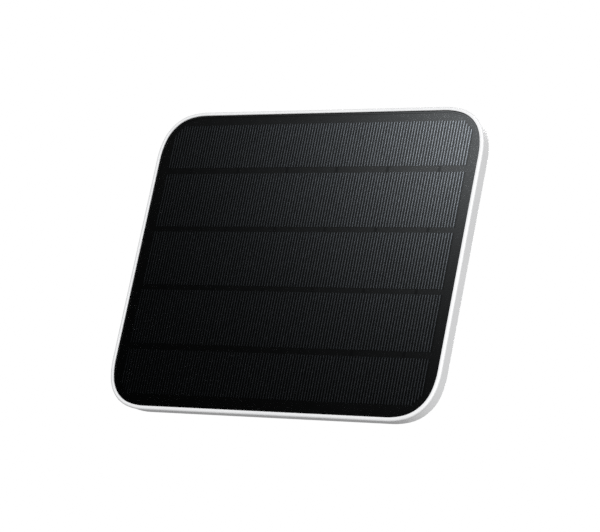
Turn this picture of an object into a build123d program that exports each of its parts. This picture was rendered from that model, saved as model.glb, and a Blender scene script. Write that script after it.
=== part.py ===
from build123d import *

import os
from math import cos, radians, sin

# Small outdoor solar panel, in millimetres.
# X runs along the long side, Z up the short side, and the dark face looks towards -Y.
# The origin is the mouth of the threaded mounting insert, at the middle of the back.

# ---- driving dimensions ----
WIDTH = 180.0
HEIGHT = 149.0
DEPTH = 18.0
EDGE_DEPTH = 8.0  # depth of the side wall, without the boss and the junction box
SIDE_DRAFT = 0.65  # how far the side wall leans in over its depth

# Corner of the outline: three tangent arcs, wide - tight - wide
WIDE_R = 35.1
TIGHT_R = 18.9
WIDE_SWEEP = 15.4  # degrees turned by each wide arc

# Front rim
BEZEL_WIDTH = 1.7
BEZEL_THICK = 1.2
BEZEL_ROUND = 0.9
BEZEL_LIP = 0.15  # chamfer around the face
SKIRT_THICK = 0.6
SKIRT_LENGTH = 1.5
SKIRT_GAP = 0.05
SHADOW_GAP = 0.22  # open line between the rim and the tray
TRAY_STEP = 0.15  # the tray stands this far inside the rim

# Laminate, from the front
FACE_RECESS = 0.3
FACE_GAP = 0.2
FACE_THICK = 0.5
FACE_CHAMFER = 0.15
LAMINATE_INSET = 2.1
FRONT_FILM = 0.3
CELL_THICK = 0.2
RIBBON_THICK = 0.1
REAR_FILM = 0.4
CELL_PLATE_THICK = 1.9  # stiff plate that the cells are laminated on
GASKET_THICK = 0.6
GASKET_WIDTH = 3.0

# Cell field: five rows of two cells
ROW_HEIGHTS = (21.8, 26.7, 26.7, 26.7, 21.7)
ROW_GAPS = (3.0, 2.5, 2.5, 3.0)
FIELD_LEFT = -82.9
FIELD_RIGHT = 82.6
FIELD_TOP = 67.9
CELL_SPLIT = 0.4  # hairline between the two cells of a row
CELL_CLIP = 5.2  # clipped outer corners of the top and bottom rows
TAB_WIDTH = 1.5
TAB_OVERLAP = 2.0
TABS_PER_CELL = 3
BUS_WIDTH = 3.0
BUS_Z = -50.5
BUS_X = (6.7, 40.0)
BUS_RISER = 0.3
BUS_PAD = 7.0

# Tray
FLOOR_THICK = 2.0
POCKET_INSET = 1.9
LEDGE_INSET = 6.0
RIB_THICK = 1.4
RIB_X = (-56.0, -30.0, 30.0, 56.0)
RIB_Z = (-62.0, -24.0, 24.0, 48.0)
TRAY_EDGE_R = 1.2

# Mounting boss and insert
BOSS_BASE_R = 19.0
BOSS_TOP_R = 16.5
BOSS_FOOT_R = 2.0
BOSS_EDGE_R = 1.2
SAME_RADIUS = 0.01
BOSS_SKIN = 2.2
BOSS_RIBS = 6
TUBE_R = 7.6
INSERT_R = 4.5
INSERT_LENGTH = 9.0
INSERT_FLANGE_R = 5.6
INSERT_FLANGE_THICK = 1.0
INSERT_GROOVE = 0.4
INSERT_GROOVES = ((-3.6, -2.2), (-7.4, -6.0))
INSERT_BORE_R = 2.6
BOLT_ROOM_R = 3.4
BOLT_ROOM_END = -11.0

# Junction box
BOX_WIDTH = 88.0
BOX_TOP = -26.0
BOX_BOTTOM = -64.0
BOX_CORNER_R = 7.0
BOX_WALL = 2.0
BOX_EDGE_R = 1.2
RIM_WIDTH = 3.4
RIM_HEIGHT = 1.6
SEAL_INSET = 1.1
SEAL_WIDTH = 1.2
SEAL_DEPTH = 0.8
POST_X = 37.0
POST_Z = (-33.0, -57.0)
POST_R = 3.3
POST_LENGTH = 5.4
SLEEVE_R = 4.2
VENT_X = 23.0
VENT_Z = -34.5
VENT_R = 4.0
VENT_THICK = 0.3
VENT_HOLE_R = 0.6
VENT_CIRCLE_R = 2.2
VENT_RING_HOLES = 4

# Screws
COVER_SCREW_R = 1.3
COVER_SCREW_HEAD_R = 2.4
COVER_SCREW_HEAD = 1.8
COVER_SCREW_LENGTH = 8.0
COUNTERBORE_DEPTH = 3.0
BOARD_SCREW_R = 0.9
BOARD_SCREW_HEAD_R = 1.8
BOARD_SCREW_HEAD = 1.2
BOARD_SCREW_LENGTH = 4.5
COVER_SCREW_DRIVE_R = 1.2
BOARD_SCREW_DRIVE_R = 0.9
HEAD_ROUND = 0.35  # share of a head's height that is rounded over
DRIVE_FLOOR = 0.4  # share of a head's height left under its drive recess
SCREW_HOLE_GAP = 0.15

# Regulator board and what it carries
BOARD_THICK = 1.6
BOARD_HALF_WIDTH = 29.0
BOARD_TOP = -31.2
BOARD_CORNER_R = 1.0
BOARD_END_GAP = 0.4
PAD_R = 2.6
PAD_X = 26.0
PAD_Z = (-34.4, -55.0)
USB_WIDTH = 8.94
USB_HEIGHT = 3.26
USB_LENGTH = 7.35
USB_SKIN = 0.3
USB_CENTRE_Y = -5.1
USB_MOUTH_GAP = 0.1
ROUND_END_MARGIN = 0.01  # keeps the two arcs of a rounded end apart
TONGUE_WIDTH = 6.7
TONGUE_THICK = 0.7
TONGUE_SETBACK = 0.9
TONGUE_BASE = 2.0
PART_EDGE = 0.2
INDUCTOR_PLACE = (-13.0, -43.0)
INDUCTOR_BASE = (7.0, 7.0, 1.0)
INDUCTOR_R = 2.9
INDUCTOR_HEIGHT = 3.2
CHIP_PLACE = (3.0, -42.0)
CHIP_SIZE = (4.0, 4.0, 0.9)
DIODE_PLACE = (13.0, -38.0)
DIODE_SIZE = (5.4, 3.6, 2.2)
CAPACITOR_X = (9.5, 13.0, 16.5)
CAPACITOR_Z = -51.0
CAPACITOR_SIZE = (2.5, 3.2, 1.8)

# Port pocket and its door
PORT_HALF_WIDTH = 6.9
PORT_HEIGHT = 6.4
PORT_DEPTH = 3.6
PORT_WALL = 0.8
PORT_CORNER_R = 1.5
PORT_BLOCK_X = (-15.0, 11.6)
WINDOW_GAP = 0.2  # around the socket, where it looks into the pocket
WINDOW_CORNER_R = 1.8
DOOR_THICK = 1.4
DOOR_REST_GAP = 0.05
DOOR_SIDE_GAP = 0.15
DOOR_END_GAP = 0.2
DOOR_HINGE_END_GAP = 0.6  # the leaf's end swings through this
DOOR_CORNER_R = 0.8
DOOR_X = (-8.0, 8.8)
DOOR_Y = (-8.6, -1.5)
HINGE_X = -10.2
KNUCKLE_R = 1.3
KNUCKLE_Y = (-6.75, -3.45)
PIN_R = 0.6
PIN_Y = (-8.7, -0.5)
PIN_RUNNING_GAP = 0.05
PIN_HOUSING_GAP = 0.01
STOP_REACH = 1.6  # from the hinge axis up to the stop that the door's heel meets
HEEL_ROOM = 2.0  # free width beside the hinge axis for the heel to turn in
NICK_X = (8.8, 11.0)
NICK_Y = (-6.9, -3.3)
NICK_DEPTH = 0.8
SEAL_PLUG_HALF_WIDTH = 6.6
SEAL_PLUG_HEIGHT = 5.8
SEAL_PLUG_DEPTH = 1.0
SEAL_PLUG_WALL = 1.1

# Leads
LEAD_R = 0.7
LEAD_BEND_R = 2.0
LEAD_START_X = 7.6
LEAD_EXIT_X = 22.0
LEAD_HOLE_R = 2.0

# ---- worked out ----
FRONT_Y = -DEPTH
BEZEL_BACK_Y = FRONT_Y + BEZEL_THICK
SKIRT_END_Y = BEZEL_BACK_Y + SKIRT_LENGTH
TRAY_FRONT_Y = BEZEL_BACK_Y + SHADOW_GAP
FACE_Y = FRONT_Y + FACE_RECESS
FRONT_FILM_Y = FACE_Y + FACE_THICK
CELL_Y = FRONT_FILM_Y + FRONT_FILM
RIBBON_Y = CELL_Y + CELL_THICK
PLATE_Y = RIBBON_Y + REAR_FILM
GASKET_Y = PLATE_Y + CELL_PLATE_THICK
LEDGE_Y = GASKET_Y + GASKET_THICK
BACK_Y = FRONT_Y + EDGE_DEPTH
FLOOR_Y = BACK_Y - FLOOR_THICK
USB_SEAT_Y = USB_CENTRE_Y - USB_HEIGHT / 2
BOARD_Y = USB_SEAT_Y - BOARD_THICK
POST_END_Y = BACK_Y + POST_LENGTH
HINGE_Z = BOX_BOTTOM + KNUCKLE_R
DOOR_FLOOR_Z = BOX_BOTTOM + DOOR_THICK + DOOR_REST_GAP
POCKET_FLOOR_Z = BOX_BOTTOM + PORT_DEPTH
POCKET_INNER_Z = POCKET_FLOOR_Z + PORT_WALL
USB_MOUTH_Z = POCKET_INNER_Z + USB_MOUTH_GAP
BOARD_BOTTOM = POCKET_INNER_Z + BOARD_END_GAP
LEAD_Y = GASKET_Y + RIBBON_THICK + LEAD_R


# ---- helpers ----
def facing(y):
    """Plane at depth y that looks to the front; its own x and y run along X and Z."""
    return Plane(origin=(0, y, 0), x_dir=(1, 0, 0), z_dir=(0, -1, 0))


def between(face, y_front, y_back):
    """Solid over the face (drawn in X and Z) from y_front to y_back."""
    return extrude(facing(y_back) * face, y_back - y_front)


def outline(inset):
    """The panel's outline, moved inwards by inset."""
    wide = WIDE_R - inset
    tight = TIGHT_R - inset
    turn = radians(WIDE_SWEEP)
    middle = wide - (wide - tight) * cos(turn)  # from a side to the tight arc's centre
    reach = middle + (wide - tight) * sin(turn)  # from a side to the corner's end
    half_sizes = (WIDTH / 2 - inset, HEIGHT / 2 - inset)
    edges = []
    for quarter in range(4):
        w = half_sizes[quarter % 2]
        h = half_sizes[1 - quarter % 2]
        run = (
            CenterArc((w - wide, h - reach), wide, 0, WIDE_SWEEP),
            CenterArc((w - middle, h - middle), tight, WIDE_SWEEP, 90 - 2 * WIDE_SWEEP),
            CenterArc((w - reach, h - wide), wide, 90 - WIDE_SWEEP, WIDE_SWEEP),
            Line((w - reach, h), (reach - w, h)),
        )
        edges += [Rot(0, 0, 90 * quarter) * edge for edge in run]
    return make_face(edges)


def plate(inset, y_front, y_back):
    return between(outline(inset), y_front, y_back)


def ring(outer_inset, inner_inset, y_front, y_back):
    return plate(outer_inset, y_front, y_back) - plate(inner_inset, y_front, y_back)


def taper(front_inset, y_front, back_inset, y_back):
    """Solid whose outline goes evenly from one inset to the other."""
    back = facing(y_back) * outline(back_inset)
    front = facing(y_front) * outline(front_inset)
    return loft([back, front], ruled=True)


def block(x, y, z):
    """Box from three (low, high) pairs."""
    size = [high - low for low, high in (x, y, z)]
    return Pos(x[0], y[0], z[0]) * Box(*size, align=Align.MIN)


def rod(x, z, radius, y_front, y_back):
    """Cylinder along Y."""
    return between(Pos(x, z) * Circle(radius), y_front, y_back)


def box_plate(inset, y_front, y_back):
    """Solid with the junction box's outline, moved inwards by inset."""
    width = BOX_WIDTH - 2 * inset
    height = BOX_TOP - BOX_BOTTOM - 2 * inset
    face = Pos(0, (BOX_TOP + BOX_BOTTOM) / 2) * RectangleRounded(width, height, BOX_CORNER_R - inset)
    return between(face, y_front, y_back)


def port_shape(half_width, height, corner, z_low, z_high):
    """Rounded block along Z, centred on the socket."""
    plane = Plane(origin=(0, USB_CENTRE_Y, z_low), x_dir=(1, 0, 0), z_dir=(0, 0, 1))
    return extrude(plane * RectangleRounded(2 * half_width, height, corner), z_high - z_low)


def back_edges(solid):
    return solid.edges().group_by(Axis.Y)[-1]


def front_edges(solid):
    return solid.edges().group_by(Axis.Y)[0]


def group(solids):
    return Compound(children=list(solids))


def both_sides(x, heights):
    return [(side * x, z) for side in (-1, 1) for z in heights]


POSTS = both_sides(POST_X, POST_Z)
PADS = both_sides(PAD_X, PAD_Z)


# ---- front rim and laminate ----
def front_bezel():
    flange = plate(0, FRONT_Y, BEZEL_BACK_Y)
    flange = fillet(front_edges(flange), BEZEL_ROUND)
    flange -= plate(BEZEL_WIDTH, FRONT_Y, BEZEL_BACK_Y)
    flange -= taper(BEZEL_WIDTH - BEZEL_LIP, FRONT_Y, BEZEL_WIDTH, FRONT_Y + BEZEL_LIP)
    return flange + ring(BEZEL_WIDTH - SKIRT_THICK, BEZEL_WIDTH, BEZEL_BACK_Y, SKIRT_END_Y)


def front_sheet():
    sheet = plate(BEZEL_WIDTH + FACE_GAP, FACE_Y, FRONT_FILM_Y)
    return chamfer(front_edges(sheet), FACE_CHAMFER)


def row_spans():
    """(top, bottom) of each cell row, from the top."""
    spans = []
    top = FIELD_TOP
    for height, gap in zip(ROW_HEIGHTS, (*ROW_GAPS, 0)):
        spans.append((top, top - height))
        top -= height + gap
    return spans


def cell(side, top, bottom, clip_top, clip_bottom):
    """One cell: side -1 is the left one, 1 the right one."""
    inner = side * CELL_SPLIT / 2
    outer = FIELD_LEFT if side < 0 else FIELD_RIGHT
    clipped = outer - side * CELL_CLIP
    points = [(inner, top)]
    points += [(clipped, top), (outer, top - CELL_CLIP)] if clip_top else [(outer, top)]
    points += [(outer, bottom + CELL_CLIP), (clipped, bottom)] if clip_bottom else [(outer, bottom)]
    points.append((inner, bottom))
    return between(make_face(Polyline(*points, close=True)), CELL_Y, RIBBON_Y)


def cell_rows():
    spans = row_spans()
    last = len(spans) - 1
    return [
        group(cell(side, top, bottom, i == 0, i == last) for side in (-1, 1))
        for i, (top, bottom) in enumerate(spans)
    ]


def tab_columns():
    """Middle of each ribbon column across both cells."""
    columns = []
    for low, high in ((FIELD_LEFT, 0), (0, FIELD_RIGHT)):
        columns += [low + (high - low) * (i + 0.5) / TABS_PER_CELL for i in range(TABS_PER_CELL)]
    return columns


def cell_tabs():
    spans = row_spans()
    tabs = []
    for (_, upper_bottom), (lower_top, _) in zip(spans, spans[1:]):
        for x in tab_columns():
            x_span = (x - TAB_WIDTH / 2, x + TAB_WIDTH / 2)
            z_span = (lower_top - TAB_OVERLAP, upper_bottom + TAB_OVERLAP)
            tabs.append(block(x_span, (RIBBON_Y, RIBBON_Y + RIBBON_THICK), z_span))
    crossing_top = spans[0][0] - BUS_WIDTH
    x_span = (tab_columns()[0], tab_columns()[-1])
    z_span = (crossing_top - BUS_WIDTH, crossing_top)
    tabs.append(block(x_span, (RIBBON_Y, RIBBON_Y + RIBBON_THICK), z_span))
    return group(tabs)


def bus_ribbon():
    """Strip behind the last row, its riser through the cell plate and its solder pad."""
    z_span = (BUS_Z - BUS_WIDTH / 2, BUS_Z + BUS_WIDTH / 2)
    pad_end = GASKET_Y + RIBBON_THICK
    strip = block(BUS_X, (RIBBON_Y, RIBBON_Y + RIBBON_THICK), z_span)
    riser = block((BUS_X[0], BUS_X[0] + BUS_RISER), (RIBBON_Y, pad_end), z_span)
    pad = block((BUS_X[0], BUS_X[0] + BUS_PAD), (GASKET_Y, pad_end), z_span)
    return strip + riser + pad


def bus_ribbons():
    right = bus_ribbon()
    return group([right, mirror(right, Plane.YZ)])


# ---- tray ----
def insert_envelope():
    """The brass insert without its bore: the shape that the boss is moulded around."""
    body = rod(0, 0, INSERT_R, -INSERT_LENGTH, 0) + rod(0, 0, INSERT_FLANGE_R, -INSERT_FLANGE_THICK, 0)
    for groove_front, groove_back in INSERT_GROOVES:
        around = rod(0, 0, INSERT_R, groove_front, groove_back)
        body -= around - rod(0, 0, INSERT_R - INSERT_GROOVE, groove_front, groove_back)
    return body


def mount_insert():
    return insert_envelope() - rod(0, 0, INSERT_BORE_R, -INSERT_LENGTH, 0)


def cone_along_y(front_r, y_front, back_r, y_back):
    return loft([facing(y_back) * Circle(back_r), facing(y_front) * Circle(front_r)])


def boss_hollow():
    """Ring-shaped hollow around the insert's tube, crossed by ribs."""
    end_y = -BOSS_SKIN
    slope = (BOSS_BASE_R - BOSS_TOP_R) / -BACK_Y
    end_r = BOSS_TOP_R - BOSS_SKIN + slope * BOSS_SKIN
    start_r = end_r + slope * (end_y - FLOOR_Y)
    hollow = cone_along_y(start_r, FLOOR_Y, end_r, end_y) - rod(0, 0, TUBE_R, FLOOR_Y, end_y)
    rib = block((0, BOSS_BASE_R), (FLOOR_Y, end_y), (-RIB_THICK / 2, RIB_THICK / 2))
    for i in range(BOSS_RIBS):
        hollow -= Rot(0, 360 / BOSS_RIBS * (i + 0.5), 0) * rib
    return hollow


def tray_ribs():
    half_w = WIDTH / 2
    half_h = HEIGHT / 2
    y_span = (GASKET_Y, FLOOR_Y)
    ribs = [block((x - RIB_THICK / 2, x + RIB_THICK / 2), y_span, (-half_h, half_h)) for x in RIB_X]
    ribs += [block((-half_w, half_w), y_span, (z - RIB_THICK / 2, z + RIB_THICK / 2)) for z in RIB_Z]
    return Part() + ribs & plate(LEDGE_INSET, GASKET_Y, FLOOR_Y)


def tray_with_boss():
    tray = taper(TRAY_STEP, TRAY_FRONT_Y, TRAY_STEP + SIDE_DRAFT, BACK_Y)
    tray = fillet(back_edges(tray), TRAY_EDGE_R)
    boss = fillet(back_edges(cone_along_y(BOSS_BASE_R, BACK_Y, BOSS_TOP_R, 0)), BOSS_EDGE_R)
    tray += boss
    circles = tray.edges().filter_by(GeomType.CIRCLE)
    foot = [edge for edge in circles if abs(edge.radius - BOSS_BASE_R) < SAME_RADIUS]
    return fillet(foot, BOSS_FOOT_R)


def main_housing():
    body = tray_with_boss()
    body -= plate(BEZEL_WIDTH - SKIRT_THICK - SKIRT_GAP, FRONT_Y, SKIRT_END_Y)
    body -= plate(POCKET_INSET, FRONT_Y, LEDGE_Y)
    body -= plate(LEDGE_INSET, FRONT_Y, FLOOR_Y)
    body -= boss_hollow()
    body += tray_ribs()
    body -= insert_envelope()
    body -= rod(0, 0, BOLT_ROOM_R, BOLT_ROOM_END, -INSERT_LENGTH)
    for x, z in POSTS:
        body += rod(x, z, POST_R, BACK_Y, POST_END_Y)
        body -= rod(x, z, COVER_SCREW_R, -COUNTERBORE_DEPTH - COVER_SCREW_LENGTH, POST_END_Y)
    for x, z in PADS:
        body += rod(x, z, PAD_R, BACK_Y, BOARD_Y)
        body -= rod(x, z, BOARD_SCREW_R, USB_SEAT_Y - BOARD_SCREW_LENGTH, BOARD_Y)
    for side in (-1, 1):
        body -= rod(side * LEAD_EXIT_X, BUS_Z, LEAD_HOLE_R, FLOOR_Y, BACK_Y)
    return body


# ---- junction box ----
def cover_seal():
    outer = box_plate(SEAL_INSET, BACK_Y, BACK_Y + SEAL_DEPTH)
    return outer - box_plate(SEAL_INSET + SEAL_WIDTH, BACK_Y, BACK_Y + SEAL_DEPTH)


def hinge_pin_shape(radius, y_front, y_back):
    return rod(HINGE_X, HINGE_Z, radius, y_front, y_back)


def port_cuts():
    """Everything cut out of the cover's lower wall: door recess, plug pocket, hinge notch, pin hole."""
    recess_x = (DOOR_X[0] - DOOR_HINGE_END_GAP, DOOR_X[1] + DOOR_END_GAP)
    recess_y = (DOOR_Y[0] - DOOR_SIDE_GAP, DOOR_Y[1] + DOOR_SIDE_GAP)
    recess = block(recess_x, recess_y, (BOX_BOTTOM, DOOR_FLOOR_Z))
    notch_x = (HINGE_X - HEEL_ROOM, recess_x[0])
    notch_y = (KNUCKLE_Y[0] - DOOR_SIDE_GAP, KNUCKLE_Y[1] + DOOR_SIDE_GAP)
    notch = block(notch_x, notch_y, (BOX_BOTTOM, HINGE_Z + STOP_REACH))
    pocket = port_shape(PORT_HALF_WIDTH, PORT_HEIGHT, PORT_CORNER_R, BOX_BOTTOM, POCKET_FLOOR_Z)
    window_size = (USB_WIDTH / 2 + WINDOW_GAP, USB_HEIGHT + 2 * WINDOW_GAP)
    window = port_shape(*window_size, WINDOW_CORNER_R, POCKET_FLOOR_Z, POCKET_INNER_Z)
    pin_hole = hinge_pin_shape(PIN_R + PIN_HOUSING_GAP, PIN_Y[0] - PIN_HOUSING_GAP, 0)
    nick = block(NICK_X, NICK_Y, (BOX_BOTTOM, BOX_BOTTOM + NICK_DEPTH))
    return [recess, notch, pocket, window, pin_hole, nick]


def vent_holes():
    ring_of_holes = [(VENT_X, VENT_Z)]
    for i in range(VENT_RING_HOLES):
        angle = radians(360 / VENT_RING_HOLES * i)
        ring_of_holes.append((VENT_X + VENT_CIRCLE_R * cos(angle), VENT_Z + VENT_CIRCLE_R * sin(angle)))
    return [rod(x, z, VENT_HOLE_R, -BOX_WALL, 0) for x, z in ring_of_holes]


def rear_cover():
    outer = box_plate(0, BACK_Y, 0)
    outer = fillet(back_edges(outer), BOX_EDGE_R)
    body = outer - box_plate(RIM_WIDTH, BACK_Y, BACK_Y + RIM_HEIGHT)
    body -= box_plate(BOX_WALL, BACK_Y + RIM_HEIGHT, -BOX_WALL)
    body += block(PORT_BLOCK_X, (BACK_Y, 0), (BOX_BOTTOM, POCKET_INNER_Z)) & outer
    for x, z in POSTS:
        body += rod(x, z, SLEEVE_R, POST_END_Y, -BOX_WALL)
        body -= rod(x, z, COVER_SCREW_R + SCREW_HOLE_GAP, POST_END_Y, 0)
        body -= rod(x, z, COVER_SCREW_HEAD_R + SCREW_HOLE_GAP, -COUNTERBORE_DEPTH, 0)
    body -= cover_seal()
    for cut in port_cuts() + vent_holes():
        body -= cut
    return body


def screws(places, seat_y, radius, length, head_r, head, drive_r):
    """Pan-head screws driven in from the back, each with a six-sided drive recess."""
    body = rod(0, 0, radius, seat_y - length, seat_y) + rod(0, 0, head_r, seat_y, seat_y + head)
    body = fillet(back_edges(body), head * HEAD_ROUND)
    body -= between(RegularPolygon(drive_r, 6), seat_y + head * DRIVE_FLOOR, seat_y + head)
    return group(Pos(x, 0, z) * body for x, z in places)


def cover_screws():
    return screws(
        POSTS,
        -COUNTERBORE_DEPTH,
        COVER_SCREW_R,
        COVER_SCREW_LENGTH,
        COVER_SCREW_HEAD_R,
        COVER_SCREW_HEAD,
        COVER_SCREW_DRIVE_R,
    )


def board_screws():
    return screws(
        PADS,
        USB_SEAT_Y,
        BOARD_SCREW_R,
        BOARD_SCREW_LENGTH,
        BOARD_SCREW_HEAD_R,
        BOARD_SCREW_HEAD,
        BOARD_SCREW_DRIVE_R,
    )


# ---- board ----
def circuit_board():
    body = block((-BOARD_HALF_WIDTH, BOARD_HALF_WIDTH), (BOARD_Y, USB_SEAT_Y), (BOARD_BOTTOM, BOARD_TOP))
    body = fillet(body.edges().filter_by(Axis.Y), BOARD_CORNER_R)
    for x, z in PADS:
        body -= rod(x, z, BOARD_SCREW_R + SCREW_HOLE_GAP, BOARD_Y, USB_SEAT_Y)
    return body


def on_board(place, size):
    """Component with its middle at place (x, z), sitting on the board's rear face."""
    x, z = place
    width, height, thick = size
    x_span = (x - width / 2, x + width / 2)
    z_span = (z - height / 2, z + height / 2)
    body = block(x_span, (USB_SEAT_Y, USB_SEAT_Y + thick), z_span)
    return chamfer(back_edges(body), PART_EDGE)


def power_inductor():
    base_y = USB_SEAT_Y + INDUCTOR_BASE[2]
    coil = rod(*INDUCTOR_PLACE, INDUCTOR_R, base_y, USB_SEAT_Y + INDUCTOR_HEIGHT)
    return on_board(INDUCTOR_PLACE, INDUCTOR_BASE) + coil


def output_capacitors():
    return group(on_board((x, CAPACITOR_Z), CAPACITOR_SIZE) for x in CAPACITOR_X)


def usb_tube(skin, z_low, z_high):
    height = USB_HEIGHT - 2 * skin
    corner = height / 2 - ROUND_END_MARGIN
    return port_shape(USB_WIDTH / 2 - skin, height, corner, z_low, z_high)


def usb_shell():
    top = USB_MOUTH_Z + USB_LENGTH
    return usb_tube(0, USB_MOUTH_Z, top) - usb_tube(USB_SKIN, USB_MOUTH_Z, top - USB_SKIN)


def usb_tongue():
    top = USB_MOUTH_Z + USB_LENGTH - USB_SKIN
    base = usb_tube(USB_SKIN, top - TONGUE_BASE, top)
    blade = block(
        (-TONGUE_WIDTH / 2, TONGUE_WIDTH / 2),
        (USB_CENTRE_Y - TONGUE_THICK / 2, USB_CENTRE_Y + TONGUE_THICK / 2),
        (USB_MOUTH_Z + TONGUE_SETBACK, top - TONGUE_BASE),
    )
    return base + blade


# ---- door ----
def port_door():
    z_span = (BOX_BOTTOM, BOX_BOTTOM + DOOR_THICK)
    leaf = block(DOOR_X, DOOR_Y, z_span)
    corners = leaf.edges().filter_by(Axis.Z).group_by(Axis.X)[-1]
    leaf = fillet(corners, DOOR_CORNER_R)
    arm = block((HINGE_X, DOOR_X[0]), KNUCKLE_Y, z_span)
    heel = block((HINGE_X - KNUCKLE_R, HINGE_X), KNUCKLE_Y, (BOX_BOTTOM, HINGE_Z))
    knuckle = hinge_pin_shape(KNUCKLE_R, *KNUCKLE_Y)
    return leaf + arm + heel + knuckle - hinge_pin_shape(PIN_R + PIN_RUNNING_GAP, *KNUCKLE_Y)


def port_door_seal():
    z_low = BOX_BOTTOM + DOOR_THICK
    z_high = z_low + SEAL_PLUG_DEPTH
    outer = port_shape(SEAL_PLUG_HALF_WIDTH, SEAL_PLUG_HEIGHT, PORT_CORNER_R, z_low, z_high)
    return outer - port_shape(
        SEAL_PLUG_HALF_WIDTH - SEAL_PLUG_WALL,
        SEAL_PLUG_HEIGHT - 2 * SEAL_PLUG_WALL,
        PORT_CORNER_R - SEAL_PLUG_WALL,
        z_low,
        z_high,
    )


# ---- leads ----
def lead(side):
    """From the bus ribbon's pad along the cell plate, then back through the tray's floor to the board."""
    start = (side * LEAD_START_X, LEAD_Y, BUS_Z)
    corner = (side * LEAD_EXIT_X, LEAD_Y, BUS_Z)
    end = (side * LEAD_EXIT_X, BOARD_Y, BUS_Z)
    path = FilletPolyline(start, corner, end, radius=LEAD_BEND_R)
    section = Plane(origin=start, z_dir=(side, 0, 0)) * Circle(LEAD_R)
    return sweep(section, path=path)


def build():
    rows = cell_rows()
    cells = [solid for row in rows for solid in row.solids()]
    tabs = cell_tabs()
    buses = bus_ribbons()
    nodes = {
        "front_bezel": front_bezel(),
        "front_sheet": front_sheet(),
        "front_encapsulant": plate(LAMINATE_INSET, FRONT_FILM_Y, RIBBON_Y) - cells,
        "cell_tabs": tabs,
        "bus_ribbons": buses,
        "rear_encapsulant": plate(LAMINATE_INSET, RIBBON_Y, PLATE_Y) - tabs.solids() - buses.solids(),
        "cell_plate": plate(LAMINATE_INSET, PLATE_Y, GASKET_Y) - buses.solids(),
        "bonding_gasket": ring(LAMINATE_INSET, LAMINATE_INSET + GASKET_WIDTH, GASKET_Y, LEDGE_Y),
        "main_housing": main_housing(),
        "mount_insert": mount_insert(),
        "rear_cover": rear_cover(),
        "cover_seal": cover_seal(),
        "cover_screws": cover_screws(),
        "vent_membrane": rod(VENT_X, VENT_Z, VENT_R, -BOX_WALL - VENT_THICK, -BOX_WALL),
        "circuit_board": circuit_board(),
        "board_screws": board_screws(),
        "power_inductor": power_inductor(),
        "control_chip": on_board(CHIP_PLACE, CHIP_SIZE),
        "blocking_diode": on_board(DIODE_PLACE, DIODE_SIZE),
        "output_capacitors": output_capacitors(),
        "usb_shell": usb_shell(),
        "usb_tongue": usb_tongue(),
        "port_door": port_door(),
        "port_door_seal": port_door_seal(),
        "door_hinge_pin": hinge_pin_shape(PIN_R, *PIN_Y),
        "lead_positive": lead(1),
        "lead_negative": lead(-1),
    }
    for i, row in enumerate(rows):
        nodes[f"cell_row_{i + 1}"] = row
    return nodes


os.makedirs("parts", exist_ok=True)
for name, shape in build().items():
    export_step(shape, f"parts/{name}.step")
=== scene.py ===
import math

import bmesh
import bpy
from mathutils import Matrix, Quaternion, Vector


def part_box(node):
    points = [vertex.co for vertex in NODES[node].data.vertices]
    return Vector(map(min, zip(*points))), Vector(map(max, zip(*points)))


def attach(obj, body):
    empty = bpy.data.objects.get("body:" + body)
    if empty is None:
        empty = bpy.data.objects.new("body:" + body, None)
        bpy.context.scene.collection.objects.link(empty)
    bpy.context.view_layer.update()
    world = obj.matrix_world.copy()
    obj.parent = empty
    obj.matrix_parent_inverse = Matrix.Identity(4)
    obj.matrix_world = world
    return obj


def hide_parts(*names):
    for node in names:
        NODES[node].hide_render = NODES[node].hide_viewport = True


# Looks, lights and camera for a small outdoor solar panel. Metres, in the CAD frame:
# X along the long side, Z up the short side, the dark face towards -Y.

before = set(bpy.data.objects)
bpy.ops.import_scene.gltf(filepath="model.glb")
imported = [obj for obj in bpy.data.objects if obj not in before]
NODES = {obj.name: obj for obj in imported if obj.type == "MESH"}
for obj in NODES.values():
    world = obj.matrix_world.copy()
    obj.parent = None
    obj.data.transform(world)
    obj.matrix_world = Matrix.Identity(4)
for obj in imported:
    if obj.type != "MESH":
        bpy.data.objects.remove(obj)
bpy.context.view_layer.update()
PANEL_BODY = "panel"
CELL_ROWS = sorted(name for name in NODES if name.startswith("cell_row"))
DARK_STACK = [*CELL_ROWS, "front_sheet", "front_encapsulant", "cell_tabs", "rear_encapsulant", "cell_plate"]

# ---- sizes of the drawn detail ----
FINGER_PITCH = 0.001476
FINGER_WIDTH = 0.00046
FINGER_RISE = 0.00003
FINGER_END_GAP = 0.00005
FILM_CLEARANCE = 0.00004
FILM_OVER_FINGERS = 0.00005
COVER_EDGE_ROUND = 0.00015
COVER_EDGE_STEPS = 5
PRINTED_BORDER = 0.0006
THREAD_PITCH = 0.00127
THREAD_DEPTH = 0.0004
SAME_PLACE = 1e-9
SAME_LEVEL = 1e-6

# ---- camera ----
LENS = 164.06
CAMERA_AZIMUTH = math.radians(34.87)
CAMERA_ELEVATION = math.radians(-15.85)
CAMERA_ROLL = math.radians(11.53)
CAMERA_DISTANCE = 1.253
SENSOR_WIDTH = 36.0
NEAREST_SEEN = 0.05
FARTHEST_SEEN = 50.0
AIM_X = 0.00532
AIM_Z = -0.00304

# ---- light: directions are seen from the middle of the face, powers in watts ----
# Sheen: the small light that the face mirrors.
SHEEN_DIRECTION = Vector((-0.444, -0.811, 0.376))
SHEEN_DISTANCE = 3.7
SHEEN_SIZE = 0.354
SHEEN_POWER = 5.9
SHEEN_COLOUR = (0.92, 0.97, 1.0)
# Key: lights the rim and the side wall.
KEY_DIRECTION = Vector((0.56, -0.83, 0.0))
KEY_DISTANCE = 3.0
KEY_SIZE = 1.0
KEY_POWER = 88.0
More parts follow.
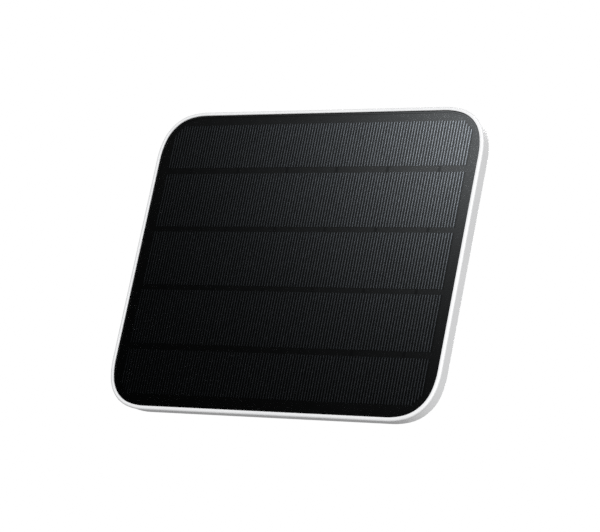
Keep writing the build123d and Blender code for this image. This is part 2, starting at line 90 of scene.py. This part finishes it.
# Two lights behind: their glints run round the upper and the lower corner.
BACK_DIRECTION = Vector((-0.3, 0.85, 0.45))
BACK_DISTANCE = 3.0
BACK_SIZE = 1.6
BACK_POWER = 38.0
LOW_BACK_DIRECTION = Vector((-0.11, 0.97, -0.18))
LOW_BACK_POWER = 14.0
# Top fill: near, so that it lifts the top of the rim more than the bottom.
TOP_FILL_DIRECTION = Vector((-0.28, -0.62, 0.74))
TOP_FILL_DISTANCE = 1.0
TOP_FILL_SIZE = 0.4
TOP_FILL_POWER = 1.4
# The surroundings: a dark side that the face mirrors, a dim card in it, and the levels elsewhere.
DARK_ROOM_DIRECTION = Vector((-0.55, -0.79, 0.27))
DARK_ROOM_CORE = math.radians(50)
DARK_ROOM_EDGE = math.radians(90)
FRONT_CARD_DIRECTION = Vector((0.05, -1.0, 0.0))
FRONT_CARD_CORE = math.radians(12)
FRONT_CARD_EDGE = math.radians(30)
FRONT_CARD_LEVEL = 0.4
LIGHT_FROM_BELOW = 0.335
LIGHT_FROM_ABOVE = 0.40
HORIZON_BLUR = 0.35
FLOOR_DROP = 1.6
FLOOR_GLOW = 0.5
FLOOR_HALF_WIDTH = 6.0


# ---- shader nodes ----
class Shader:
    """A material with short calls for the few nodes used here."""

    def __init__(self, name, color=(0.8, 0.8, 0.8), roughness=0.5, metallic=0.0):
        self.material = bpy.data.materials.new(name)
        self.material.use_nodes = True
        self.nodes = self.material.node_tree.nodes
        self.links = self.material.node_tree.links
        self.surface = self.nodes["Principled BSDF"]
        self.set("Base Color", (*color, 1.0))
        self.set("Roughness", roughness)
        self.set("Metallic", metallic)
        self.place = self.nodes.new("ShaderNodeTexCoord").outputs["Object"]

    def set(self, socket, value):
        self.surface.inputs[socket].default_value = value

    def link(self, output, socket):
        self.links.new(output, self.surface.inputs[socket])

    def stretched(self, scale):
        """Object coordinates, scaled along each axis."""
        node = self.nodes.new("ShaderNodeMapping")
        node.inputs["Scale"].default_value = scale
        self.links.new(self.place, node.inputs["Vector"])
        return node.outputs["Vector"]

    def noise(self, scale, detail=2.0, place=None):
        node = self.nodes.new("ShaderNodeTexNoise")
        node.inputs["Scale"].default_value = scale
        node.inputs["Detail"].default_value = detail
        self.links.new(place or self.place, node.inputs["Vector"])
        return node.outputs["Fac"]

    def ramp(self, value, low, high, low_color, high_color):
        node = self.nodes.new("ShaderNodeValToRGB")
        node.color_ramp.elements[0].position = low
        node.color_ramp.elements[1].position = high
        node.color_ramp.elements[0].color = (*low_color, 1.0)
        node.color_ramp.elements[1].color = (*high_color, 1.0)
        self.links.new(value, node.inputs["Fac"])
        return node.outputs["Color"]

    def rings(self, pitch):
        """Waves along Y, one pitch apart."""
        node = self.nodes.new("ShaderNodeTexWave")
        node.bands_direction = "Y"
        node.inputs["Scale"].default_value = math.pi / 10 / pitch
        self.links.new(self.place, node.inputs["Vector"])
        return node.outputs["Fac"]

    def spread(self, value, low, high):
        """value from 0..1 mapped to low..high."""
        node = self.nodes.new("ShaderNodeMapRange")
        node.inputs["To Min"].default_value = low
        node.inputs["To Max"].default_value = high
        self.links.new(value, node.inputs["Value"])
        return node.outputs["Result"]

    def bump(self, height, depth, strength=1.0):
        """Adds relief of that depth, in metres."""
        node = self.nodes.new("ShaderNodeBump")
        node.inputs["Distance"].default_value = depth
        node.inputs["Strength"].default_value = strength
        self.links.new(height, node.inputs["Height"])
        before = self.surface.inputs["Normal"]
        if before.is_linked:
            self.links.new(before.links[0].from_socket, node.inputs["Normal"])
        self.link(node.outputs["Normal"], "Normal")


def white_plastic():
    """Moulded white ABS with a fine spark-eroded grain."""
    s = Shader("white_plastic")
    s.link(s.ramp(s.noise(45, 3), 0.35, 0.65, (0.80, 0.805, 0.812), (0.83, 0.833, 0.838)), "Base Color")
    s.link(s.spread(s.noise(300, 2), 0.40, 0.52), "Roughness")
    s.set("IOR", 1.48)
    s.bump(s.noise(3200, 2), 0.000006, 0.4)
    return s.material


def satin_cover():
    """Satin sheet: the cells show through it."""
    s = Shader("satin_cover", (0.0004, 0.0004, 0.0005), 0.19)
    s.set("IOR", 1.5)
    s.set("Alpha", 0.25)
    s.link(s.spread(s.noise(60, 3), 0.18, 0.20), "Roughness")
    s.bump(s.noise(9000, 1), 0.000001, 0.3)
    return s.material


def clear_film():
    """Nearly invisible film between the cover and the cells."""
    s = Shader("clear_film", (0.001, 0.001, 0.001), 0.3)
    s.set("Alpha", 0.04)
    s.link(s.spread(s.noise(80, 2), 0.25, 0.35), "Roughness")
    return s.material


def cell_silicon():
    """Blue-black silicon whose etched surface reflects little."""
    s = Shader("cell_silicon", roughness=0.22)
    mottling = s.noise(120, 4)
    s.link(s.ramp(mottling, 0.3, 0.7, (0.0003, 0.0004, 0.0007), (0.0005, 0.0006, 0.0010)), "Base Color")
    s.link(s.spread(s.noise(500, 2), 0.19, 0.24), "Roughness")
    s.set("IOR", 1.2)
    return s.material


def finger_silver():
    """Printed silver, duller than the pure metal."""
    s = Shader("finger_silver", roughness=0.2, metallic=1.0)
    s.link(s.ramp(s.noise(900, 2), 0.3, 0.7, (0.29, 0.31, 0.34), (0.40, 0.42, 0.45)), "Base Color")
    s.link(s.spread(s.noise(700, 2), 0.17, 0.24), "Roughness")
    return s.material


def black_polymer(name, roughness):
    s = Shader(name)
    mottling = s.noise(150, 3)
    s.link(s.ramp(mottling, 0.3, 0.7, (0.0006, 0.0006, 0.0007), (0.0012, 0.0012, 0.0013)), "Base Color")
    s.link(s.spread(s.noise(260, 2), roughness - 0.02, roughness + 0.03), "Roughness")
    s.bump(s.noise(3000, 2), 0.000002, 0.4)
    return s.material


def coated_metal(name, dark, light, roughness):
    """Metal with fine lines from drawing or machining."""
    s = Shader(name, metallic=1.0)
    lines = s.noise(1200, 3, s.stretched((1.0, 12.0, 1.0)))
    s.link(s.ramp(lines, 0.3, 0.7, dark, light), "Base Color")
    s.link(s.spread(lines, roughness - 0.06, roughness + 0.08), "Roughness")
    s.bump(lines, 0.000008, 0.4)
    return s.material


def threaded_brass():
    """Turned brass; the thread shows as rings down the bore."""
    s = Shader("brass", metallic=1.0)
    turned = s.noise(1500, 3)
    s.link(s.ramp(turned, 0.3, 0.7, (0.66, 0.47, 0.19), (0.74, 0.53, 0.23)), "Base Color")
    s.link(s.spread(turned, 0.26, 0.32), "Roughness")
    s.bump(turned, 0.000006, 0.4)
    s.bump(s.rings(THREAD_PITCH), THREAD_DEPTH)
    return s.material


def soft_rubber(name, dark, light):
    s = Shader(name)
    s.link(s.ramp(s.noise(400, 3), 0.3, 0.7, dark, light), "Base Color")
    s.link(s.spread(s.noise(700, 2), 0.6, 0.78), "Roughness")
    s.bump(s.noise(2600, 2), 0.00002, 0.5)
    return s.material


def grained(name, dark, light, roughness):
    """Matt moulded or fired surface with slight mottling."""
    s = Shader(name)
    s.link(s.ramp(s.noise(350, 4), 0.3, 0.7, dark, light), "Base Color")
    s.link(s.spread(s.noise(600, 2), roughness - 0.06, roughness + 0.06), "Roughness")
    s.bump(s.noise(4000, 2), 0.00001, 0.4)
    return s.material


def paint(material, *names):
    for name in names:
        data = NODES[name].data
        data.materials.clear()
        data.materials.append(material)


def paint_nodes():
    paint(white_plastic(), "front_bezel", "main_housing", "rear_cover", "port_door")
    paint(cell_silicon(), *CELL_ROWS)
    paint(black_polymer("black_encapsulant", 0.19), "rear_encapsulant", "cell_plate")
    paint(coated_metal("black_ribbon", (0.008, 0.008, 0.009), (0.02, 0.02, 0.022), 0.4), "cell_tabs")
    paint(coated_metal("tinned_ribbon", (0.45, 0.45, 0.44), (0.6, 0.6, 0.58), 0.3), "bus_ribbons")
    paint(soft_rubber("foam_tape", (0.02, 0.02, 0.02), (0.035, 0.035, 0.035)), "bonding_gasket")
    seal = soft_rubber("seal_rubber", (0.03, 0.03, 0.032), (0.05, 0.05, 0.052))
    paint(seal, "cover_seal", "port_door_seal")
    paint(threaded_brass(), "mount_insert")
    steel = coated_metal("screw_steel", (0.42, 0.42, 0.43), (0.58, 0.58, 0.6), 0.3)
    paint(steel, "cover_screws", "board_screws", "door_hinge_pin", "usb_shell")
    paint(grained("vent_film", (0.5, 0.5, 0.51), (0.62, 0.62, 0.63), 0.7), "vent_membrane")
    paint(grained("solder_mask", (0.006, 0.05, 0.02), (0.012, 0.09, 0.035), 0.35), "circuit_board")
    paint(grained("ferrite", (0.03, 0.03, 0.032), (0.06, 0.06, 0.062), 0.6), "power_inductor")
    chip = grained("chip_black", (0.01, 0.01, 0.011), (0.022, 0.022, 0.023), 0.5)
    paint(chip, "control_chip", "blocking_diode", "usb_tongue")
    paint(grained("capacitor_tan", (0.30, 0.22, 0.13), (0.42, 0.32, 0.2), 0.5), "output_capacitors")
    paint(soft_rubber("lead_red", (0.35, 0.01, 0.01), (0.5, 0.02, 0.02)), "lead_positive")
    paint(soft_rubber("lead_black", (0.01, 0.01, 0.01), (0.02, 0.02, 0.02)), "lead_negative")


# ---- pieces drawn here ----
def add_mesh(name, bm, material):
    data = bpy.data.meshes.new(name)
    bm.to_mesh(data)
    bm.free()
    data.materials.append(material)
    piece = bpy.data.objects.new(name, data)
    bpy.context.scene.collection.objects.link(piece)
    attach(piece, PANEL_BODY)
    return piece


def add_box(bm, low, high):
    corners = [(x, y, z) for x in (low[0], high[0]) for y in (low[1], high[1]) for z in (low[2], high[2])]
    verts = [bm.verts.new(c) for c in corners]
    for ids in ((0, 1, 3, 2), (4, 6, 7, 5), (0, 4, 5, 1), (2, 3, 7, 6), (0, 2, 6, 4), (1, 5, 7, 3)):
        bm.faces.new([verts[i] for i in ids])


def node_outline(node):
    """The node's outer edge as points (x, z) in order, taken as the convex hull of its vertices."""
    points = {(round(v.co.x, 7), round(v.co.z, 7)) for v in NODES[node].data.vertices}
    lower, upper = [], []
    for chain, ordered in ((lower, sorted(points)), (upper, sorted(points, reverse=True))):
        for point in ordered:
            while len(chain) > 1 and turn(chain[-2], chain[-1], point) <= 0:
                chain.pop()
            chain.append(point)
    return [Vector(p) for p in lower[:-1] + upper[:-1]]


def turn(a, b, c):
    """Positive where the way from a over b to c turns to the left."""
    return (b[0] - a[0]) * (c[1] - b[1]) - (b[1] - a[1]) * (c[0] - b[0])


def inset_outline(points, distance):
    """The same outline moved inwards."""
    moved = []
    for i, point in enumerate(points):
        along = (points[(i + 1) % len(points)] - points[i - 1]).normalized()
        moved.append(point + Vector((-along.y, along.x)) * distance)
    return moved


def add_loop(bm, points, y):
    return [bm.verts.new((p.x, y, p.y)) for p in points]


def add_wall(bm, loop, next_loop, slot_index):
    """Band of faces from one loop to the next."""
    for i in range(len(loop)):
        j = (i + 1) % len(loop)
        bm.faces.new((loop[i], loop[j], next_loop[j], next_loop[i])).material_index = slot_index


def cover_sheet(edge_ink):
    """Clear sheet with a rounded front edge, inked black on its side and round the border behind."""
    low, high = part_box("front_sheet")
    outer = node_outline("front_sheet")
    bm = bmesh.new()
    rings = []
    for step in range(COVER_EDGE_STEPS + 1):
        angle = math.pi / 2 * step / COVER_EDGE_STEPS
        inset = COVER_EDGE_ROUND * (1 - math.sin(angle))
        drop = COVER_EDGE_ROUND * (1 - math.cos(angle))
        rings.append(add_loop(bm, inset_outline(outer, inset), low.y + drop))
    bm.faces.new(rings[0])
    for ring, next_ring in zip(rings, rings[1:]):
        add_wall(bm, ring, next_ring, 0)
    back = add_loop(bm, outer, high.y)
    add_wall(bm, rings[-1], back, 1)
    border = add_loop(bm, inset_outline(outer, PRINTED_BORDER), high.y)
    add_wall(bm, back, border, 1)
    bm.faces.new(border)
    bmesh.ops.recalc_face_normals(bm, faces=bm.faces)
    sheet = add_mesh("cover_sheet", bm, satin_cover())
    sheet.data.materials.append(edge_ink)
    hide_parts("front_sheet")


def cell_reach(node, x):
    """Lowest and highest z of a cell row at that x, read from its clipped outline."""
    data = NODES[node].data
    low, high = None, None
    for edge in data.edges:
        a, b = (data.vertices[i].co for i in edge.vertices)
        if a.x > b.x:
            a, b = b, a
        if a.x - SAME_PLACE <= x <= b.x + SAME_PLACE and b.x - a.x > SAME_LEVEL:
            z = a.z + (b.z - a.z) * (x - a.x) / (b.x - a.x)
            low = z if low is None else min(low, z)
            high = z if high is None else max(high, z)
    return low, high


def fingers(node, material):
    """The printed silver lines of one row of cells."""
    low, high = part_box(node)
    middle = (low.x + high.x) / 2
    count = int((high.x - low.x) / FINGER_PITCH)
    start = middle - FINGER_PITCH * (count - 1) / 2
    bm = bmesh.new()
    for i in range(count):
        x = start + FINGER_PITCH * i
        z_low, z_high = cell_reach(node, x)
        add_box(
            bm,
            (x - FINGER_WIDTH / 2, low.y - FINGER_RISE, z_low + FINGER_END_GAP),
            (x + FINGER_WIDTH / 2, low.y, z_high - FINGER_END_GAP),
        )
    return add_mesh(node.replace("cell_row", "finger_lines"), bm, material)


def front_film():
    """The clear layer between the cover and the cells, kept just clear of both."""
    source = NODES["front_encapsulant"].data
    sheet_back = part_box("front_sheet")[1].y
    cell_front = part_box("cell_row_3")[0].y
    front = sheet_back + FILM_CLEARANCE
    back = cell_front - FINGER_RISE - FILM_OVER_FINGERS
    bm = bmesh.new()
    bm.from_mesh(source)
    face_y = min(v.co.y for v in bm.verts)
    loose = [f for f in bm.faces if any(v.co.y > face_y + SAME_LEVEL for v in f.verts)]
    bmesh.ops.delete(bm, geom=loose, context="FACES")
    for v in bm.verts:
        v.co.y = front
    made = bmesh.ops.extrude_face_region(bm, geom=bm.faces[:])
    for v in [g for g in made["geom"] if isinstance(g, bmesh.types.BMVert)]:
        v.co.y = back
    bmesh.ops.recalc_face_normals(bm, faces=bm.faces)
    film = add_mesh("front_film", bm, clear_film())
    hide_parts("front_encapsulant")


# ---- studio ----
def studio_floor():
    bm = bmesh.new()
    bmesh.ops.create_grid(bm, x_segments=1, y_segments=1, size=FLOOR_HALF_WIDTH)
    data = bpy.data.meshes.new("studio_floor")
    bm.to_mesh(data)
    bm.free()
    s = Shader("floor_paper", roughness=0.7)
    s.link(s.ramp(s.noise(3, 2), 0.3, 0.7, (0.86, 0.86, 0.86), (0.9, 0.9, 0.9)), "Base Color")
    s.set("Emission Color", (1, 1, 1, 1))
    s.set("Emission Strength", FLOOR_GLOW)
    data.materials.append(s.material)
    floor = bpy.data.objects.new("studio_floor", data)
    floor.location.z = -FLOOR_DROP
    floor.visible_diffuse = False
    floor.visible_glossy = False
    bpy.context.scene.collection.objects.link(floor)
    return floor


def area_light(name, place, target, size, power):
    data = bpy.data.lights.new(name, "AREA")
    data.shape = "SQUARE"
    data.size = size
    data.energy = power
    light = bpy.data.objects.new(name, data)
    light.location = place
    light.rotation_mode = "QUATERNION"
    light.rotation_quaternion = (target - place).to_track_quat("-Z", "Y")
    bpy.context.scene.collection.objects.link(light)
    return light


def face_centre():
    low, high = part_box("front_bezel")
    return Vector(((low.x + high.x) / 2, low.y, (low.z + high.z) / 2))


def studio_lights(floor):
    """The dark face takes only the sheen; every other light is flagged off it."""
    centre = face_centre()
    sheen = area_light("sheen", centre + SHEEN_DIRECTION * SHEEN_DISTANCE, centre, SHEEN_SIZE, SHEEN_POWER)
    sheen.data.color = SHEEN_COLOUR
    key = area_light("key", centre + KEY_DIRECTION * KEY_DISTANCE, centre, KEY_SIZE, KEY_POWER)
    back = area_light("back", centre + BACK_DIRECTION * BACK_DISTANCE, centre, BACK_SIZE, BACK_POWER)
    low_back_place = centre + LOW_BACK_DIRECTION * BACK_DISTANCE
    low_back = area_light("low_back", low_back_place, centre, BACK_SIZE, LOW_BACK_POWER)
    fill_place = centre + TOP_FILL_DIRECTION * TOP_FILL_DISTANCE
    top_fill = area_light("top_fill", fill_place, centre, TOP_FILL_SIZE, TOP_FILL_POWER)
    flagged = bpy.data.collections.new("not_the_dark_face")
    flagged.objects.link(floor)
    for name, node in NODES.items():
        if name not in DARK_STACK:
            flagged.objects.link(node)
    for light in (key, back, low_back, top_fill):
        light.light_linking.receiver_collection = flagged


def studio_world():
    """White to look at. It lights softly from all round but for one dark side, which holds a dim card."""
    world = bpy.data.worlds.new("studio")
    world.use_nodes = True
    world.cycles.sampling_method = "NONE"
    nodes = world.node_tree.nodes
    links = world.node_tree.links

    def fade(value, start, end, at_start, at_end):
        node = nodes.new("ShaderNodeMapRange")
        node.interpolation_type = "SMOOTHSTEP"
        node.inputs["From Min"].default_value = start
        node.inputs["From Max"].default_value = end
        node.inputs["To Min"].default_value = at_start
        node.inputs["To Max"].default_value = at_end
        links.new(value, node.inputs["Value"])
        return node.outputs["Result"]

    def cosine_to(axis):
        node = nodes.new("ShaderNodeVectorMath")
        node.operation = "DOT_PRODUCT"
        node.inputs[1].default_value = axis.normalized()
        links.new(direction, node.inputs[0])
        return node.outputs["Value"]

    direction = nodes.new("ShaderNodeTexCoord").outputs["Generated"]
    to_dark = cosine_to(DARK_ROOM_DIRECTION)
    open_side = fade(to_dark, math.cos(DARK_ROOM_EDGE), math.cos(DARK_ROOM_CORE), 1.0, 0.0)
    to_card = cosine_to(FRONT_CARD_DIRECTION)
    card = fade(to_card, math.cos(FRONT_CARD_EDGE), math.cos(FRONT_CARD_CORE), 0.0, FRONT_CARD_LEVEL)
    split = nodes.new("ShaderNodeSeparateXYZ")
    links.new(direction, split.inputs[0])
    level = fade(split.outputs["Z"], -HORIZON_BLUR, HORIZON_BLUR, LIGHT_FROM_BELOW, LIGHT_FROM_ABOVE)
    strength = nodes.new("ShaderNodeMath")
    strength.operation = "MULTIPLY_ADD"
    links.new(open_side, strength.inputs[0])
    links.new(level, strength.inputs[1])
    links.new(card, strength.inputs[2])
    lit = nodes.new("ShaderNodeBackground")
    lit.inputs["Color"].default_value = (1, 1, 1, 1)
    links.new(strength.outputs["Value"], lit.inputs["Strength"])
    seen = nodes["Background"]
    seen.inputs["Color"].default_value = (1, 1, 1, 1)
    seen.inputs["Strength"].default_value = 1.0
    path = nodes.new("ShaderNodeLightPath")
    mix = nodes.new("ShaderNodeMixShader")
    links.new(path.outputs["Is Camera Ray"], mix.inputs["Fac"])
    links.new(lit.outputs["Background"], mix.inputs[1])
    links.new(seen.outputs["Background"], mix.inputs[2])
    links.new(mix.outputs["Shader"], nodes["World Output"].inputs["Surface"])
    bpy.context.scene.world = world


def camera():
    centre = face_centre()
    aim = centre + Vector((AIM_X, 0, AIM_Z))
    back = Vector((
        math.sin(CAMERA_AZIMUTH) * math.cos(CAMERA_ELEVATION),
        -math.cos(CAMERA_AZIMUTH) * math.cos(CAMERA_ELEVATION),
        math.sin(CAMERA_ELEVATION),
    ))
    data = bpy.data.cameras.new("camera")
    data.lens = LENS
    data.sensor_width = SENSOR_WIDTH
    data.clip_start = NEAREST_SEEN
    data.clip_end = FARTHEST_SEEN
    cam = bpy.data.objects.new("camera", data)
    cam.location = aim + back * CAMERA_DISTANCE
    cam.rotation_mode = "QUATERNION"
    cam.rotation_quaternion = (-back).to_track_quat("-Z", "Y") @ Quaternion((0, 0, 1), CAMERA_ROLL)
    bpy.context.scene.collection.objects.link(cam)
    bpy.context.scene.camera = cam


bpy.context.scene.view_settings.view_transform = "Standard"
# The finger lines are as fine as the noise that a denoiser removes, so none is used.
bpy.context.scene.cycles.use_denoising = False
camera()
paint_nodes()
silver = finger_silver()
for row in CELL_ROWS:
    fingers(row, silver)
front_film()
cover_sheet(black_polymer("edge_ink", 0.2))
studio_lights(studio_floor())
studio_world()
